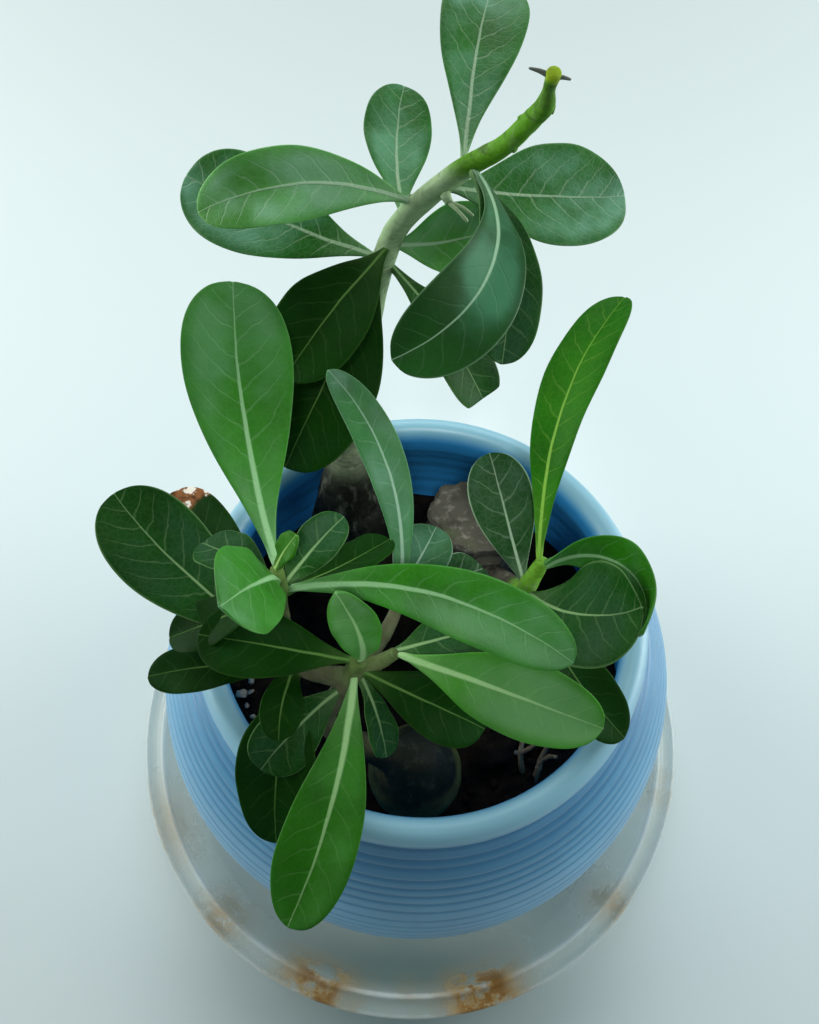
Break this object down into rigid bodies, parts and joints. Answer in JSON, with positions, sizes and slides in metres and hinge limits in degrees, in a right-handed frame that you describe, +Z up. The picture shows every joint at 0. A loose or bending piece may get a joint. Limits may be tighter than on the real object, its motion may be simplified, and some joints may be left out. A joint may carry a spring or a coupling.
{
  "type": "potted desert rose adenium",
  "caption": "Round-bellied ringed pot on a clear saucer, with swollen-stemmed succulent plants whose paddle-shaped leaves spread over the rim; rests on a table or shelf.",
  "frame": {"origin": "on the pot's axis, at the underside of the saucer, where the part meets the table", "axes": "+Z up, +X to the right and +Y away as seen from the plant's front"},
  "size_m": [0.1936, 0.2285, 0.2344],
  "materials": {
    "glaze": "light blue, satin, fine thrown rings",
    "clear_plastic": "clear frosted plastic with dried water stains",
    "soil": "dark crumbly potting soil",
    "bark": "grey-green smooth bark, brown near the soil",
    "cork": "rough grey-brown corky bark",
    "dry_root": "dry brown root",
    "leaf_green": "smooth fleshy leaf, pale rib, satin",
    "leaf_dark": "smooth fleshy leaf, dark green, pale rib, satin"
  },
  "bodies": {
    "root": {"pot": "glaze", "saucer": "clear_plastic", "soil": "soil", "stem_tall": "bark", "stem_front": "bark", "stem_right": "cork", "dry_roots": "dry_root", "leaf_tall_top": "leaf_green", "leaf_tall_back": "leaf_dark", "leaf_tall_left_upper": "leaf_green", "leaf_tall_left_lower": "leaf_dark", "leaf_tall_right": "leaf_green", "leaf_tall_inner": "leaf_green", "leaf_tall_curled": "leaf_green", "leaf_tall_curled_back": "leaf_dark", "leaf_tall_bitten": "leaf_green", "leaf_tall_shade": "leaf_dark", "leaf_tall_low": "leaf_dark", "leaf_left_upright": "leaf_green", "leaf_left_near": "leaf_green", "leaf_left_young": "leaf_green", "leaf_left_long": "leaf_green", "leaf_left_low": "leaf_green", "leaf_left_wide": "leaf_green", "leaf_left_spotted": "leaf_dark", "leaf_left_tucked": "leaf_green", "leaf_left_inner": "leaf_green", "leaf_left_behind": "leaf_dark", "leaf_front_lance": "leaf_green", "leaf_front_inner": "leaf_dark", "leaf_front_dusty": "leaf_dark", "leaf_front_under": "leaf_dark", "leaf_front_hanging": "leaf_dark", "leaf_front_left_low": "leaf_dark", "leaf_front_left": "leaf_dark", "leaf_front_long": "leaf_green", "leaf_front_right_low": "leaf_dark", "leaf_front_small": "leaf_dark", "leaf_front_blue": "leaf_dark", "leaf_front_rising": "leaf_green", "leaf_front_right": "leaf_green", "leaf_front_right_back": "leaf_dark", "leaf_right_dusty": "leaf_dark", "leaf_right_tall": "leaf_green", "leaf_right_curled": "leaf_green", "leaf_right_broad": "leaf_dark", "leaf_right_low": "leaf_dark"}
  },
  "joints": []
}
